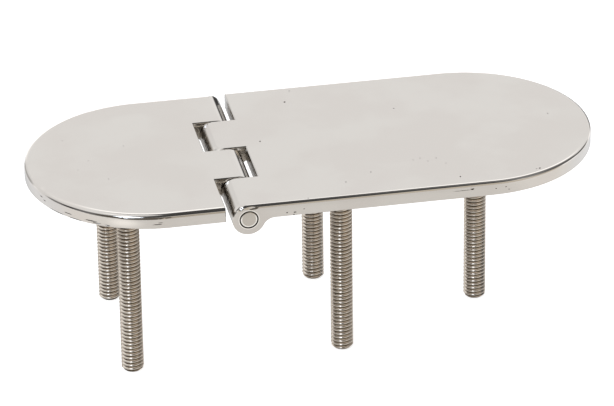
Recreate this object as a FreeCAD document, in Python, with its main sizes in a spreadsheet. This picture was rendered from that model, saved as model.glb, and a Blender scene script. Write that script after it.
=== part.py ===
import FreeCAD, Part
import math
import os
import Sketcher

# Deck hinge: two cast leaves with four interlocking knuckles, the pin that joins them, and five threaded
# studs that stand out of the leaves' undersides. Millimetres, +Z up. The origin lies on the mounting face
# (the leaves' underside), midway between the long leaf's two studs next to the hinge.
#
# Each leaf is drawn in a frame of its own: the pin's axis crosses x = 0, the mounting face is z = 0, the
# leaf runs towards +X and its outermost knuckle is on the -Y side. The short leaf is then turned half way
# round, so its knuckles fill the long leaf's slots.

# The driving dimensions, in millimetres
SIZES = {
    "leaf_width": 88.9,
    "short_leaf_length": 71.4,
    "long_leaf_length": 131.0,
    "leaf_thickness": 5.3,
    "barrel_radius": 5.75,
    "crown_cut": 0.55,
    "crown_round": 5.2,
    "root_fillet": 4.5,
    "long_slot_reach": 7.2,
    "short_slot_reach": 8.0,
    "side_gap": 0.8,
    "back_gap": 0.2,
    "long_top_round": 1.2,
    "short_top_round": 1.7,
    "edge_break": 0.25,
    "pin_radius": 3.175,
    "pin_chamfer": 0.6,
    "pin_clearance": 0.05,
    "stud_radius": 3.97,
    "stud_length": 63.5,
    "stud_chamfer": 1.0,
    "spigot_radius": 3.2,
    "spigot_depth": 3.0,
    "mouth_clearance": 0.25,
    "stud_side": 26.7,
    "short_stud_reach": 39.6,
    "long_stud_reach": 35.7,
    "end_stud_reach": 90.1,
    "tool_margin": 2.0,
}

# Values worked out from the driving dimensions, as formulas of the sheet
FORMULAS = {
    "half_width": "=leaf_width / 2",
    "axis_depth": "=barrel_radius - crown_cut",
    "axis_height": "=leaf_thickness - axis_depth",
    "knuckle_width": "=(leaf_width - 2 * side_gap - back_gap) / 4",
    "knuckle_inside": "=half_width - knuckle_width",
    "slot_start": "=-barrel_radius - tool_margin",
    "stud_cone": "=stud_radius - spigot_radius",
    "mouth_bevel": "=stud_cone + mouth_clearance",
}

# What the unusual names in the sheet mean
NOTES = {
    "crown_cut": "how much of the barrel's crown is ground off, flush with the leaf's top face",
    "crown_round": "radius that blends the top face into the barrel",
    "root_fillet": "radius under the leaf, between the barrel and the mounting face",
    "long_slot_reach": "from the pin's axis to the end walls of the long leaf's slots",
    "short_slot_reach": "from the pin's axis to the end walls of the short leaf's slots",
    "side_gap": "gap beside a knuckle, at the middle and at the front",
    "back_gap": "gap beside the rearmost pair of knuckles",
    "long_top_round": "rounding of the long leaf's outer top edge",
    "short_top_round": "rounding of the short leaf's outer top edge, which was buffed away further",
    "edge_break": "bevel of every other edge of the castings",
    "pin_clearance": "radial running clearance of the pin in the short leaf",
    "stud_radius": "major radius of the thread",
    "spigot_radius": "plain end of the stud, held in the leaf",
    "mouth_clearance": "radial clearance around each stud at the mouth of its socket",
    "stud_cone": "height of the cone between a stud's spigot and its shank",
    "mouth_bevel": "countersink at the mouth of each stud's socket",
    "stud_side": "from the centre line to the side studs",
    "short_stud_reach": "from the pin's axis to the short leaf's studs",
    "long_stud_reach": "from the pin's axis to the long leaf's two side studs",
    "end_stud_reach": "from the pin's axis to the stud near the long leaf's round end",
    "knuckle_inside": "from the centre line to the inner side of an outer knuckle",
    "slot_start": "where the slot cutters begin, clear of the barrel",
    "tool_margin": "how far cutters run past the material",
}

# Short names for a sketch's own origin and axes
X_AXIS, Y_AXIS = range(-1, -3, -1)
START, END, CENTRE = range(1, 4)
ORIGIN = (X_AXIS, START)
UP = FreeCAD.Vector(0, 0, 1)
HALF_TURN = 180
CLOSE = 1e-4


def make_sheet(doc):
    """The spreadsheet of sizes: names in A, values in B, notes in C."""
    sheet = doc.addObject("Spreadsheet::Sheet", "Sizes")
    rows = [(name, str(number)) for name, number in SIZES.items()]
    rows += list(FORMULAS.items())
    for row, (name, content) in enumerate(rows, start=1):
        sheet.set(f"A{row}", name)
        sheet.set(f"B{row}", content)
        sheet.setAlias(f"B{row}", name)
        sheet.set(f"C{row}", NOTES.get(name, ""))
    doc.recompute()
    return sheet


def make_body(doc, name):
    """An empty body whose label names the file of its solid."""
    body = doc.addObject("PartDesign::Body", name)
    body.Label = name
    return body


def make_sketch(body, name, role):
    """A sketch on one of the body's own origin planes."""
    sketch = body.newObject("Sketcher::SketchObject", name)
    plane = next(item for item in body.Origin.OriginFeatures if item.Role == role)
    sketch.AttachmentSupport = (plane, [""])
    sketch.MapMode = "FlatFace"
    return sketch


def point(x, y):
    """A point of a sketch."""
    return FreeCAD.Vector(x, y, 0)


def line(sketch, start, end):
    """Add a straight segment and return its number."""
    return sketch.addGeometry(Part.LineSegment(point(*start), point(*end)))


def arc(sketch, centre, radius, first, last):
    """Add a counter-clockwise arc between two angles in radians and return its number."""
    circle = Part.Circle(point(*centre), UP, radius)
    return sketch.addGeometry(Part.ArcOfCircle(circle, first, last))


def tie(sketch, kind, *places):
    """Add a constraint that has no size."""
    flat = []
    for place in places:
        flat += list(place) if isinstance(place, tuple) else [place]
    sketch.addConstraint(Sketcher.Constraint(kind, *flat))


def measure(sketch, name, kind, places, formula):
    """Add a dimension and bind it to the sheet."""
    flat = []
    for place in places:
        flat += list(place) if isinstance(place, tuple) else [place]
    amount = float(sketch.evalExpression(formula))
    number = sketch.addConstraint(Sketcher.Constraint(kind, *flat, amount))
    sketch.renameConstraint(number, name)
    sketch.setExpression(f"Constraints.{name}", formula)


def rectangle(sketch, name, left, right, low, high):
    """A rectangle whose four sides are formulas of the sheet."""
    x0, x1, y0, y1 = (float(sketch.evalExpression(side)) for side in (left, right, low, high))
    bottom = line(sketch, (x0, y0), (x1, y0))
    far = line(sketch, (x1, y0), (x1, y1))
    top = line(sketch, (x1, y1), (x0, y1))
    near = line(sketch, (x0, y1), (x0, y0))
    for first, second in ((bottom, far), (far, top), (top, near), (near, bottom)):
        tie(sketch, "Coincident", (first, END), (second, START))
    for level in (bottom, top):
        tie(sketch, "Horizontal", level)
    for upright in (far, near):
        tie(sketch, "Vertical", upright)
    measure(sketch, f"{name}_left", "DistanceX", (ORIGIN, (bottom, START)), left)
    measure(sketch, f"{name}_right", "DistanceX", (ORIGIN, (bottom, END)), right)
    measure(sketch, f"{name}_low", "DistanceY", (ORIGIN, (bottom, START)), low)
    measure(sketch, f"{name}_high", "DistanceY", (ORIGIN, (top, START)), high)


def draw_side(body, sizes, length):
    """The leaf from the side: plate, blended crown, barrel and root fillet in one outline."""
    sketch = make_sketch(body, "SideProfile", "XZ_Plane")
    reach = float(sizes.get(length))
    top = sizes.leaf_thickness
    barrel = sizes.barrel_radius
    crown = sizes.crown_round
    root = sizes.root_fillet
    height = sizes.axis_height
    crown_x = -math.sqrt((barrel - crown) ** 2 - (sizes.axis_depth - crown) ** 2)
    crown_end = math.atan2(top - crown - height, crown_x)
    root_x = math.sqrt((barrel + root) ** 2 - (root + height) ** 2)
    barrel_end = math.atan2(-root - height, root_x) + math.tau

    level = line(sketch, (reach, top), (crown_x, top))
    blend = arc(sketch, (crown_x, top - crown), crown, math.pi / 2, crown_end)
    round_barrel = arc(sketch, (0, height), barrel, crown_end, barrel_end)
    fillet = arc(sketch, (root_x, -root), root, math.pi / 2, barrel_end - math.pi)
    under = line(sketch, (root_x, 0), (reach, 0))
    end = line(sketch, (reach, 0), (reach, top))
    tie(sketch, "Horizontal", level)
    tie(sketch, "Tangent", (level, END), (blend, START))
    tie(sketch, "Tangent", (blend, END), (round_barrel, START))
    tie(sketch, "Tangent", (round_barrel, END), (fillet, END))
    tie(sketch, "Tangent", (fillet, START), (under, START))
    tie(sketch, "Coincident", (under, END), (end, START))
    tie(sketch, "Coincident", (end, END), (level, START))
    tie(sketch, "Vertical", end)
    tie(sketch, "PointOnObject", (under, START), X_AXIS)
    tie(sketch, "PointOnObject", (under, END), X_AXIS)
    tie(sketch, "PointOnObject", (round_barrel, CENTRE), Y_AXIS)
    measure(sketch, "reach", "DistanceX", (ORIGIN, (under, END)), f"Sizes.{length}")
    measure(sketch, "thickness", "DistanceY", ((end, START), (end, END)), "Sizes.leaf_thickness")
    measure(sketch, "depth", "DistanceY", ((round_barrel, CENTRE), (level, END)), "Sizes.axis_depth")
    measure(sketch, "barrel", "Radius", (round_barrel,), "Sizes.barrel_radius")
    measure(sketch, "crown", "Radius", (blend,), "Sizes.crown_round")
    measure(sketch, "root", "Radius", (fillet,), "Sizes.root_fillet")
    return sketch


def draw_end_waste(body, sizes, length):
    """What is cut away outside the leaf's semicircular end, seen from above."""
    sketch = make_sketch(body, "EndWaste", "XY_Plane")
    half = sizes.half_width
    margin = sizes.tool_margin
    centre = float(sizes.get(length)) - half
    far = centre + half + margin
    wide = half + margin
    round_end = arc(sketch, (centre, 0), half, -math.pi / 2, math.pi / 2)
    corners = [(centre, half), (centre, wide), (far, wide), (far, -wide), (centre, -wide), (centre, -half)]
    sides = [line(sketch, a, b) for a, b in zip(corners, corners[1:])]
    tie(sketch, "Coincident", (round_end, END), (sides[0], START))
    for first, second in zip(sides, sides[1:]):
        tie(sketch, "Coincident", (first, END), (second, START))
    tie(sketch, "Coincident", (sides[-1], END), (round_end, START))
    for upright in (sides[0], sides[2], sides[4]):
        tie(sketch, "Vertical", upright)
    for level in (sides[1], sides[3]):
        tie(sketch, "Horizontal", level)
    tie(sketch, "PointOnObject", (round_end, CENTRE), X_AXIS)
    tie(sketch, "Vertical", (round_end, CENTRE), (round_end, END))
    tie(sketch, "Vertical", (round_end, CENTRE), (round_end, START))
    measure(sketch, "round_end", "Radius", (round_end,), "Sizes.half_width")
    measure(sketch, "reach", "DistanceX", (ORIGIN, (round_end, CENTRE)), f"Sizes.{length} - Sizes.half_width")
    measure(sketch, "past_end", "DistanceX", ((round_end, CENTRE), (sides[1], END)),
            "Sizes.half_width + Sizes.tool_margin")
    measure(sketch, "past_back", "DistanceY", ((round_end, CENTRE), (sides[1], END)),
            "Sizes.half_width + Sizes.tool_margin")
    measure(sketch, "past_front", "DistanceY", ((sides[3], END), (round_end, CENTRE)),
            "Sizes.half_width + Sizes.tool_margin")
    return sketch


def draw_slots(body, reach, inner_low, inner_high):
    """The two slots of a leaf: one between its knuckles, one open at the far side."""
    sketch = make_sketch(body, "Slots", "XY_Plane")
    outside = "Sizes.half_width + Sizes.tool_margin"
    end = f"Sizes.{reach}"
    rectangle(sketch, "between", "Sizes.slot_start", end, "-Sizes.knuckle_inside", inner_low)
    rectangle(sketch, "open_side", "Sizes.slot_start", end, inner_high, outside)
    return sketch


def draw_edge_path(body, sizes, length):
    """The outer edge that is rounded over: front side, round end, back side."""
    sketch = make_sketch(body, "EdgePath", "XY_Plane")
    half = sizes.half_width
    centre = float(sizes.get(length)) - half
    begin = sizes.slot_start
    front = line(sketch, (begin, -half), (centre, -half))
    round_end = arc(sketch, (centre, 0), half, -math.pi / 2, math.pi / 2)
    back = line(sketch, (centre, half), (begin, half))
    tie(sketch, "Horizontal", front)
    tie(sketch, "Horizontal", back)
    tie(sketch, "Tangent", (front, END), (round_end, START))
    tie(sketch, "Tangent", (round_end, END), (back, START))
    tie(sketch, "Vertical", (front, START), (back, END))
    tie(sketch, "PointOnObject", (round_end, CENTRE), X_AXIS)
    measure(sketch, "round_end", "Radius", (round_end,), "Sizes.half_width")
    measure(sketch, "begin", "DistanceX", (ORIGIN, (front, START)), "Sizes.slot_start")
    measure(sketch, "reach", "DistanceX", (ORIGIN, (round_end, CENTRE)), f"Sizes.{length} - Sizes.half_width")
    return sketch


def draw_edge_waste(body, sizes, radius):
    """The corner that rounding takes off the front top edge, seen along the leaf."""
    sketch = make_sketch(body, "EdgeWaste", "YZ_Plane")
    sketch.setExpression(".AttachmentOffset.Base.z", "Sizes.slot_start")
    rounding = float(sizes.get(radius))
    side = -sizes.half_width
    top = sizes.leaf_thickness
    outside = side - sizes.tool_margin
    above = top + sizes.tool_margin
    corner = arc(sketch, (side + rounding, top - rounding), rounding, math.pi / 2, math.pi)
    places = [(side, top - rounding), (outside, top - rounding), (outside, above), (side + rounding, above)]
    low = line(sketch, places[0], places[1])
    outer = line(sketch, places[1], places[2])
    upper = line(sketch, places[2], places[3])
    inner = line(sketch, places[3], (side + rounding, top))
    tie(sketch, "Coincident", (corner, END), (low, START))
    tie(sketch, "Coincident", (low, END), (outer, START))
    tie(sketch, "Coincident", (outer, END), (upper, START))
    tie(sketch, "Coincident", (upper, END), (inner, START))
    tie(sketch, "Coincident", (inner, END), (corner, START))
    for level in (low, upper):
        tie(sketch, "Horizontal", level)
    for upright in (outer, inner):
        tie(sketch, "Vertical", upright)
    tie(sketch, "Horizontal", (corner, CENTRE), (corner, END))
    tie(sketch, "Vertical", (corner, CENTRE), (corner, START))
    measure(sketch, "rounding", "Radius", (corner,), f"Sizes.{radius}")
    measure(sketch, "side", "DistanceX", (ORIGIN, (corner, END)), "-Sizes.half_width")
    measure(sketch, "top", "DistanceY", (ORIGIN, (corner, START)), "Sizes.leaf_thickness")
    measure(sketch, "outside", "DistanceX", ((low, END), (low, START)), "Sizes.tool_margin")
    measure(sketch, "above", "DistanceY", ((inner, END), (inner, START)), "Sizes.tool_margin")
    return sketch


def draw_circles(body, name, role, circles):
    """Circles given as (name, radius, x, y) with formulas of the sheet."""
    sketch = make_sketch(body, name, role)
    for label, radius, x, y in circles:
        amounts = [float(sketch.evalExpression(formula)) for formula in (x, y, radius)]
        circle = sketch.addGeometry(Part.Circle(point(*amounts[:2]), UP, amounts[2]))
        measure(sketch, f"{label}_radius", "Radius", (circle,), radius)
        measure(sketch, f"{label}_x", "DistanceX", (ORIGIN, (circle, CENTRE)), x)
        measure(sketch, f"{label}_y", "DistanceY", (ORIGIN, (circle, CENTRE)), y)
    return sketch


def pad_across(body, name, sketch, formula):
    """Pad a sketch evenly to both sides of its plane."""
    pad = body.newObject("PartDesign::Pad", name)
    pad.Profile = sketch
    pad.SideType = "Symmetric"
    pad.setExpression("Length", formula)
    body.Document.recompute()
    return pad


def cut(body, name, sketch, depth=None):
    """Pocket a sketch: right through both ways, or up from the mounting face by a depth."""
    before = body.Tip.Shape.Volume
    pocket = body.newObject("PartDesign::Pocket", name)
    pocket.Profile = sketch
    if depth:
        pocket.Reversed = True
        pocket.setExpression("Length", depth)
    else:
        pocket.Type = "ThroughAll"
        pocket.SideType = "Symmetric"
    body.Document.recompute()
    assert pocket.Shape.Volume < before, f"{name} of {body.Label} removes nothing"
    return pocket


def casting_edges(shape, sizes, reach):
    """The names of a casting's crisp edges: side outlines, round end, slot ends and open corner."""
    slot_end = float(sizes.get(reach))
    names = []
    for number, edge in enumerate(shape.Edges, start=1):
        box = edge.BoundBox
        along_y = box.XLength < CLOSE and box.ZLength < CLOSE
        upright = box.XLength < CLOSE and box.YLength < CLOSE
        at_slot_end = abs(box.XMax - slot_end) < CLOSE
        at_open_corner = at_slot_end and abs(box.YMax - sizes.half_width) < CLOSE
        if upright and not at_open_corner:
            continue
        if along_y and not at_slot_end:
            continue
        names.append(f"Edge{number}")
    return names


def break_edges(body, sizes, reach):
    """Take the sharpness off the casting's edges with a narrow bevel."""
    source = body.Tip
    bevel = body.newObject("PartDesign::Chamfer", "EdgeBreak")
    bevel.Base = (source, casting_edges(source.Shape, sizes, reach))
    bevel.setExpression("Size", "Sizes.edge_break")
    body.Document.recompute()
    return bevel


def round_top(body, sizes, length, radius):
    """Round the top face's outer edge by sweeping the corner along it."""
    before = body.Tip.Shape.Volume
    sweep = body.newObject("PartDesign::SubtractivePipe", "TopRound")
    sweep.Profile = draw_edge_waste(body, sizes, radius)
    sweep.Spine = draw_edge_path(body, sizes, length)
    body.Document.recompute()
    assert sweep.Shape.Volume < before, f"TopRound of {body.Label} removes nothing"
    return sweep


def countersink(body):
    """Bevel the mouths of the stud sockets, on the mounting face."""
    source = body.Tip
    mouths = []
    for number, edge in enumerate(source.Shape.Edges, start=1):
        box = edge.BoundBox
        if len(edge.Vertexes) == 1 and max(abs(box.ZMin), abs(box.ZMax)) < CLOSE:
            mouths.append(f"Edge{number}")
    bevel = body.newObject("PartDesign::Chamfer", "SocketMouths")
    bevel.Base = (source, mouths)
    bevel.setExpression("Size", "Sizes.mouth_bevel")
    body.Document.recompute()
    return bevel


def make_leaf(doc, sizes, name, length, reach, rounding, inner, bore, sockets):
    """One leaf as a casting: plate and two knuckles, bored for the pin and socketed for its studs."""
    body = make_body(doc, name)
    pad_across(body, "Casting", draw_side(body, sizes, length), "Sizes.leaf_width")
    cut(body, "RoundEnd", draw_end_waste(body, sizes, length))
    cut(body, "KnuckleSlots", draw_slots(body, reach, *inner))
    break_edges(body, sizes, reach)
    round_top(body, sizes, length, rounding)
    axis = [("bore", bore, "0", "Sizes.axis_height")]
    cut(body, "PinBore", draw_circles(body, "BoreCircle", "XZ_Plane", axis))
    seats = [(label, "Sizes.spigot_radius", x, y) for label, x, y in sockets]
    cut(body, "StudSockets", draw_circles(body, "SocketCircles", "XY_Plane", seats), "Sizes.spigot_depth")
    countersink(body)
    body.setExpression(".Placement.Base.x", "-Sizes.long_stud_reach")
    return body


def make_long_leaf(doc, sizes):
    """The long leaf, with its outer knuckle at the front and three studs."""
    inner = ("Sizes.side_gap - Sizes.back_gap / 2", "Sizes.knuckle_inside - Sizes.back_gap")
    sockets = [
        ("front", "Sizes.long_stud_reach", "-Sizes.stud_side"),
        ("back", "Sizes.long_stud_reach", "Sizes.stud_side"),
        ("far", "Sizes.end_stud_reach", "0"),
    ]
    shape = ("long_leaf_length", "long_slot_reach", "long_top_round", inner, "Sizes.pin_radius")
    return make_leaf(doc, sizes, "long_leaf", *shape, sockets)


def make_short_leaf(doc, sizes):
    """The short leaf, turned half way round, with its outer knuckle at the back and two studs."""
    inner = ("Sizes.back_gap / 2", "Sizes.knuckle_inside - Sizes.side_gap")
    sockets = [
        ("front", "Sizes.short_stud_reach", "Sizes.stud_side"),
        ("back", "Sizes.short_stud_reach", "-Sizes.stud_side"),
    ]
    bore = "Sizes.pin_radius + Sizes.pin_clearance"
    shape = ("short_leaf_length", "short_slot_reach", "short_top_round", inner, bore)
    body = make_leaf(doc, sizes, "short_leaf", *shape, sockets)
    body.Placement.Rotation = FreeCAD.Rotation(UP, HALF_TURN)
    return body


def make_pin(doc):
    """The hinge pin, flush with the outer knuckles and chamfered at both ends."""
    body = make_body(doc, "hinge_pin")
    circle = draw_circles(body, "PinCircle", "XZ_Plane", [("pin", "Sizes.pin_radius", "0", "0")])
    pin = pad_across(body, "PinLength", circle, "Sizes.leaf_width")
    rims = [f"Edge{n}" for n, edge in enumerate(pin.Shape.Edges, start=1) if len(edge.Vertexes) == 1]
    chamfer = body.newObject("PartDesign::Chamfer", "PinEnds")
    chamfer.Base = (pin, rims)
    chamfer.setExpression("Size", "Sizes.pin_chamfer")
    body.setExpression(".Placement.Base.x", "-Sizes.long_stud_reach")
    body.setExpression(".Placement.Base.z", "Sizes.axis_height")
    return body


def draw_stud(body, sizes):
    """Half the section of a stud: spigot in the socket, cone, shank and chamfered tip."""
    sketch = make_sketch(body, "StudSection", "XZ_Plane")
    spigot = sizes.spigot_radius
    radius = sizes.stud_radius
    chamfer = sizes.stud_chamfer
    depth = sizes.spigot_depth
    cone_top = sizes.stud_cone
    tip = -sizes.stud_length
    corners = [
        (0, depth),
        (spigot, depth),
        (spigot, cone_top),
        (radius, 0),
        (radius, tip + chamfer),
        (radius - chamfer, tip),
        (0, tip),
    ]
    sides = [line(sketch, a, b) for a, b in zip(corners, corners[1:] + corners[:1])]
    top, seat, cone, shank, slope, foot, axis = sides
    for first, second in zip(sides, sides[1:] + sides[:1]):
        tie(sketch, "Coincident", (first, END), (second, START))
    for level in (top, foot):
        tie(sketch, "Horizontal", level)
    for upright in (seat, shank, axis):
        tie(sketch, "Vertical", upright)
    tie(sketch, "PointOnObject", (axis, START), Y_AXIS)
    tie(sketch, "PointOnObject", (shank, START), X_AXIS)
    measure(sketch, "spigot", "DistanceX", ((top, START), (top, END)), "Sizes.spigot_radius")
    measure(sketch, "depth", "DistanceY", (ORIGIN, (top, START)), "Sizes.spigot_depth")
    measure(sketch, "cone", "DistanceY", (ORIGIN, (cone, START)), "Sizes.stud_cone")
    measure(sketch, "radius", "DistanceX", (ORIGIN, (shank, START)), "Sizes.stud_radius")
    measure(sketch, "length", "DistanceY", ((foot, START), ORIGIN), "Sizes.stud_length")
    measure(sketch, "rise", "DistanceY", ((slope, END), (slope, START)), "Sizes.stud_chamfer")
    measure(sketch, "slope", "DistanceX", ((slope, END), (slope, START)), "Sizes.stud_chamfer")
    return sketch


def make_stud(doc, sizes, name, x, y):
    """One stud, turned about its own axis and stood under its leaf."""
    body = make_body(doc, name)
    section = draw_stud(body, sizes)
    turned = body.newObject("PartDesign::Revolution", "Turned")
    turned.Profile = section
    turned.ReferenceAxis = (section, ["V_Axis"])
    turned.Angle = 2 * HALF_TURN
    body.setExpression(".Placement.Base.x", f"{x} - Sizes.long_stud_reach")
    body.setExpression(".Placement.Base.y", y)
    return body


def make_studs(doc, sizes):
    """All five studs, two under the short leaf and three under the long one."""
    places = {
        "stud_short_front": ("-Sizes.short_stud_reach", "-Sizes.stud_side"),
        "stud_short_back": ("-Sizes.short_stud_reach", "Sizes.stud_side"),
        "stud_long_front": ("Sizes.long_stud_reach", "-Sizes.stud_side"),
        "stud_long_back": ("Sizes.long_stud_reach", "Sizes.stud_side"),
        "stud_long_end": ("Sizes.end_stud_reach", "0"),
    }
    return [make_stud(doc, sizes, name, x, y) for name, (x, y) in places.items()]


def check(doc):
    """Stop if any object failed to compute."""
    for item in doc.Objects:
        bad = {"Invalid", "Error"} & set(item.State)
        assert not bad, f"{item.Label} is {', '.join(sorted(bad))}"


def export(bodies):
    """Write each body's solid to a file of its own."""
    os.makedirs("parts", exist_ok=True)
    for body in bodies:
        shape = body.Shape
        assert not shape.isNull() and shape.isValid(), f"{body.Label} has no valid shape"
        assert len(shape.Solids) == 1, f"{body.Label} is not one solid"
        shape.exportStep(f"parts/{body.Label}.step")
        print(body.Label, round(shape.Volume), "mm3")


document = FreeCAD.newDocument("DeckHinge")
table = make_sheet(document)
parts = [make_long_leaf(document, table), make_short_leaf(document, table), make_pin(document)]
parts += make_studs(document, table)
document.recompute()
check(document)
export(parts)
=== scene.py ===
"""Deck hinge: polished castings, hinge pin and threaded studs, lit softly on a pale floor."""

import logging
import math
from dataclasses import dataclass, field
from enum import Enum

import bpy
from mathutils import Matrix, Vector

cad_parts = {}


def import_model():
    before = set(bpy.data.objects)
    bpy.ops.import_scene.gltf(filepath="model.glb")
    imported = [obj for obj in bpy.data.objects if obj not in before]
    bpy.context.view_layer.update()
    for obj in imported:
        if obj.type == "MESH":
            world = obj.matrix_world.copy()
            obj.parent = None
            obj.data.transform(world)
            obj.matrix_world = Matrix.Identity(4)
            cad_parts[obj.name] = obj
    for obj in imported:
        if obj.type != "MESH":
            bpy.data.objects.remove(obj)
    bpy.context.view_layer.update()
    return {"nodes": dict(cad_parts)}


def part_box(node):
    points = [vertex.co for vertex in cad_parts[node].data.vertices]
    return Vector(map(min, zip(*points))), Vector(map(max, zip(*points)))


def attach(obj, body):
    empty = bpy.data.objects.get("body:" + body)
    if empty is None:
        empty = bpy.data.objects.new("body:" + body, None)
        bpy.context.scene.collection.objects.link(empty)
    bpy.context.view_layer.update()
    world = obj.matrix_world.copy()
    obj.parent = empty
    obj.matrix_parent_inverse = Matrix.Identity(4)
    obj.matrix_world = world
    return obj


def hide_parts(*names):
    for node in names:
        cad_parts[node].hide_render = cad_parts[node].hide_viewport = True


LOG = logging.getLogger("deck_hinge")
MM = 0.001

# Tints of the tent's light: plain cloth, what stands in front of the hinge, and the one strong lamp
PLAIN = "#ffffff"
WARM = "#fff4e2"
COOL = "#e4efff"

# Settings that many nodes share
ABSOLUTE = {"operation": "ABSOLUTE"}
ADD = {"operation": "ADD"}
DISTANCE = {"operation": "DISTANCE"}
LENGTH = {"operation": "LENGTH"}
LESSER = {"operation": "MINIMUM"}
GREATER = {"operation": "MAXIMUM"}
MULTIPLY = {"operation": "MULTIPLY"}
MULTIPLY_ADD = {"operation": "MULTIPLY_ADD"}
SUBTRACT = {"operation": "SUBTRACT"}
EASED = {"interpolation_type": "SMOOTHSTEP"}
COLOURS = {"data_type": "RGBA"}

Colour = tuple[float, float, float, float]
Wire = bpy.types.Node | bpy.types.NodeSocket


class Body(Enum):
    """The two rigid bodies of the hinge."""

    LONG = "long_side"
    SHORT = "short_side"


class Slot(Enum):
    """Material slots of the part's record for the new pieces; no piece is given one here."""

    PIN = "pin_steel"
    STUD = "stud_steel"


class Kind(Enum):
    """Kinds of node in the finishes and in the light tent."""

    ADD_SHADER = "ShaderNodeAddShader"
    ATTRIBUTE = "ShaderNodeAttribute"
    BACKGROUND = "ShaderNodeBackground"
    BUMP = "ShaderNodeBump"
    CLAMP = "ShaderNodeClamp"
    COORDINATES = "ShaderNodeTexCoord"
    DIFFUSE = "ShaderNodeBsdfDiffuse"
    EMISSION = "ShaderNodeEmission"
    LIGHT_PATH = "ShaderNodeLightPath"
    MAPPING = "ShaderNodeMapping"
    MATH = "ShaderNodeMath"
    MIX = "ShaderNodeMix"
    MIX_SHADER = "ShaderNodeMixShader"
    NOISE = "ShaderNodeTexNoise"
    OUTPUT = "ShaderNodeOutputMaterial"
    PRINCIPLED = "ShaderNodeBsdfPrincipled"
    RAMP = "ShaderNodeValToRGB"
    RANGE = "ShaderNodeMapRange"
    SEPARATE = "ShaderNodeSeparateXYZ"
    VECTOR = "ShaderNodeVectorMath"
    WORLD_OUTPUT = "ShaderNodeOutputWorld"


def linear(hex_colour: str) -> Colour:
    """Turn an sRGB hex colour to linear light.

    Args:
        hex_colour: Six hex digits after a hash sign.

    Returns:
        Red, green, blue and an alpha of one.
    """
    parts = [int(hex_colour[i : i + 2], 16) / 255 for i in (1, 3, 5)]

    # The sRGB curve: a straight foot, and a power above it
    red, green, blue = (c / 12.92 if c <= 0.04045 else ((c + 0.055) / 1.055) ** 2.4 for c in parts)
    return red, green, blue, 1.0


def grey(level: float) -> Colour:
    """A neutral light of the level given, where one is white."""
    return level, level, level, 1.0


def outward(azimuth: float, elevation: float) -> Vector:
    """The way out from the hinge, in degrees to the right of the front and up from level."""
    az, el = math.radians(azimuth), math.radians(elevation)
    return Vector((math.sin(az) * math.cos(el), -math.cos(az) * math.cos(el), math.sin(el)))


def put(
    tree: bpy.types.NodeTree, kind: Kind, settings: dict[str, str] | None = None, **links: object
) -> bpy.types.Node:
    """Add a node, set its properties and feed its inputs.

    Args:
        tree: The node tree that gets the node.
        kind: The node's kind.
        settings: Properties of the node itself.
        **links: Input names, with spaces as underscores, or in0, in1 for inputs by place. A value is a plain
            value, an output socket, or a node, which then gives its first open output.

    Returns:
        The new node.
    """
    node = tree.nodes.new(kind.value)
    for name, value in (settings or {}).items():
        setattr(node, name, value)
    for name, value in links.items():
        place = int(name[2:]) if name[:2] == "in" and name[2:].isdigit() else name.replace("_", " ")
        socket = node.inputs[place]
        if isinstance(value, bpy.types.Node):
            value = next(output for output in value.outputs if output.enabled)
        if isinstance(value, bpy.types.NodeSocket):
            tree.links.new(value, socket)
        else:
            socket.default_value = value
    return node


def new_material(name: str) -> tuple[bpy.types.Material, bpy.types.NodeTree]:
    """Make an empty node material.

    Args:
        name: The material's name.

    Returns:
        The material and its tree.
    """
    material = bpy.data.materials.new(name)
    material.use_nodes = True
    material.node_tree.nodes.clear()
    return material, material.node_tree


@dataclass(frozen=True)
class Span:
    """Where a share is none and where it is whole, in millimetres from a base or as plain numbers."""

    none: float
    whole: float

    def ends(self, base: float = 0.0, unit: float = MM) -> dict[str, float]:
        """Both ends, from the base and in the unit given, as the inputs of a node that gives the share."""
        return {"From_Min": (base + self.none) * unit, "From_Max": (base + self.whole) * unit}


@dataclass(frozen=True)
class Flaw:
    """One small flaw or dent of a surface: its place, its reach each way, and its turn as seen from above."""

    place_mm: tuple[float, float, float]
    reach_mm: tuple[float, float, float] = (0.25, 0.25, 0.25)
    turn: float = 0.0


@dataclass(frozen=True)
class HingeLine:
    """Where the hinge's axis and the leaves' faces lie, as the finishes need them."""

    axis_x_mm: float = -35.7
    axis_z_mm: float = 0.1
    half_width_mm: float = 44.45
    top_mm: float = 5.3
    pin_mm: float = 3.175

    def away(self, tree: bpy.types.NodeTree, place: Wire) -> Wire:
        """Measure how far a point is from the hinge's axis.

        Args:
            tree: The node tree that gets the nodes.
            place: The Object coordinates.

        Returns:
            The distance.
        """
        middle = (self.axis_x_mm * MM, 0, self.axis_z_mm * MM)
        arm = put(tree, Kind.VECTOR, SUBTRACT, in0=place, in1=middle)
        flat = put(tree, Kind.VECTOR, MULTIPLY, in0=arm, in1=(1, 0, 1))
        return put(tree, Kind.VECTOR, LENGTH, Vector=flat)


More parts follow.
